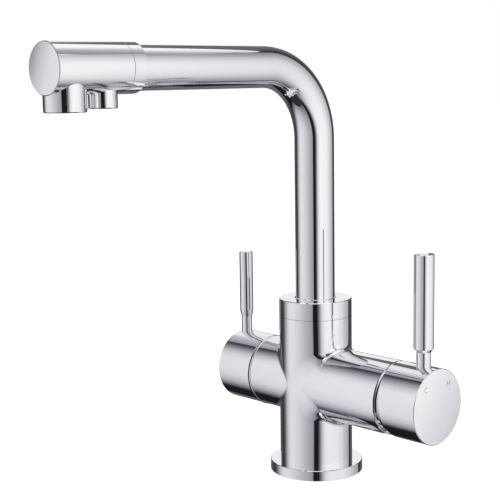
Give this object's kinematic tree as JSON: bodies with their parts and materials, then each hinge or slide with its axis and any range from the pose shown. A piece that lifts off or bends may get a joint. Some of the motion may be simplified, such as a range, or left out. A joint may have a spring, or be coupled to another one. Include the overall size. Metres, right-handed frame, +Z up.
{
  "type": "kitchen tap",
  "caption": "Three way kitchen tap: swivel spout with separate mixed and filtered outlets, side mixer lever, side filtered water lever.",
  "frame": {"origin": "middle of the foot on the worktop, at the mouth of the fixing stud's hole", "axes": "+Z up; the spout points to -Y, the mixer arm to +X, the filtered water arm to -X"},
  "size_m": [0.1695, 0.2346, 0.2775],
  "materials": {
    "chrome_body": "polished plate on a brass casting",
    "chrome_spout": "polished plate",
    "chrome_handles": "polished plate",
    "brass": "machined",
    "steel": "machined",
    "rubber": "matt",
    "white_plastic": "moulded",
    "grey_plastic": "moulded",
    "ceramic": "lapped, satin"
  },
  "bodies": {
    "tap_body": {"body_casting": "chrome_body", "base_flange": "chrome_body", "base_seal": "rubber", "spout_ring": "chrome_body", "ring_set_screw": "steel", "slip_ring_lower": "white_plastic", "slip_ring_upper": "white_plastic", "mixer_seat_seal": "rubber", "mixer_cartridge_base": "white_plastic", "mixer_fixed_disc": "ceramic", "mixer_cartridge_housing": "white_plastic", "mixer_lock_nut": "brass", "mixer_trim_ring": "chrome_body", "filter_seat_seal": "rubber", "filter_fixed_disc": "ceramic", "filter_valve_body": "brass", "filter_trim_ring": "chrome_body"},
    "spout": {"spout_tube": "chrome_spout", "spout_insert": "brass", "spout_seal_lower": "rubber", "spout_seal_upper": "rubber", "filter_feed_seal": "rubber", "filtered_water_tube": "white_plastic", "spout_head": "chrome_spout", "head_ring": "chrome_spout", "main_outlet_housing": "chrome_spout", "main_outlet_insert": "grey_plastic", "main_outlet_seal": "rubber", "pure_outlet_housing": "chrome_spout", "pure_outlet_insert": "grey_plastic", "pure_outlet_seal": "rubber"},
    "mixer_rotor": {"mixer_carrier": "grey_plastic", "mixer_pivot_pin": "steel"},
    "mixer_disc": {"mixer_moving_disc": "ceramic"},
    "mixer_handle": {"mixer_stem": "brass", "mixer_cap": "chrome_handles", "mixer_lever": "chrome_handles"},
    "filter_handle": {"filter_spindle": "brass", "filter_spindle_seal": "rubber", "filter_moving_disc": "ceramic", "filter_cap": "chrome_handles", "filter_lever": "chrome_handles"}
  },
  "joints": [
    {"name": "spout_swivel", "type": "hinge", "parent": "tap_body", "child": "spout", "pos_m": [0, 0, 0.11], "axis": [0, 0, 1], "continuous": true},
    {"name": "mixer_temperature", "type": "hinge", "parent": "tap_body", "child": "mixer_rotor", "pos_m": [0.06, 0, 0.0596], "axis": [1, 0, 0], "range_deg": [-45, 45]},
    {"name": "mixer_flow", "type": "hinge", "parent": "mixer_rotor", "child": "mixer_handle", "pos_m": [0.06, 0, 0.0596], "axis": [0, 1, 0], "range_deg": [0, 14]},
    {"name": "mixer_disc_slide", "type": "slide", "parent": "mixer_rotor", "child": "mixer_disc", "axis": [0, 0, 1], "range_m": [0, 0.0035]},
    {"name": "filter_turn", "type": "hinge", "parent": "tap_body", "child": "filter_handle", "pos_m": [-0.05, 0, 0.0596], "axis": [1, 0, 0], "range_deg": [0, 90]}
  ],
  "couplings": [
    {"joint": "mixer_disc_slide", "follows": "mixer_flow", "m_per_rad": 0.014}
  ]
}
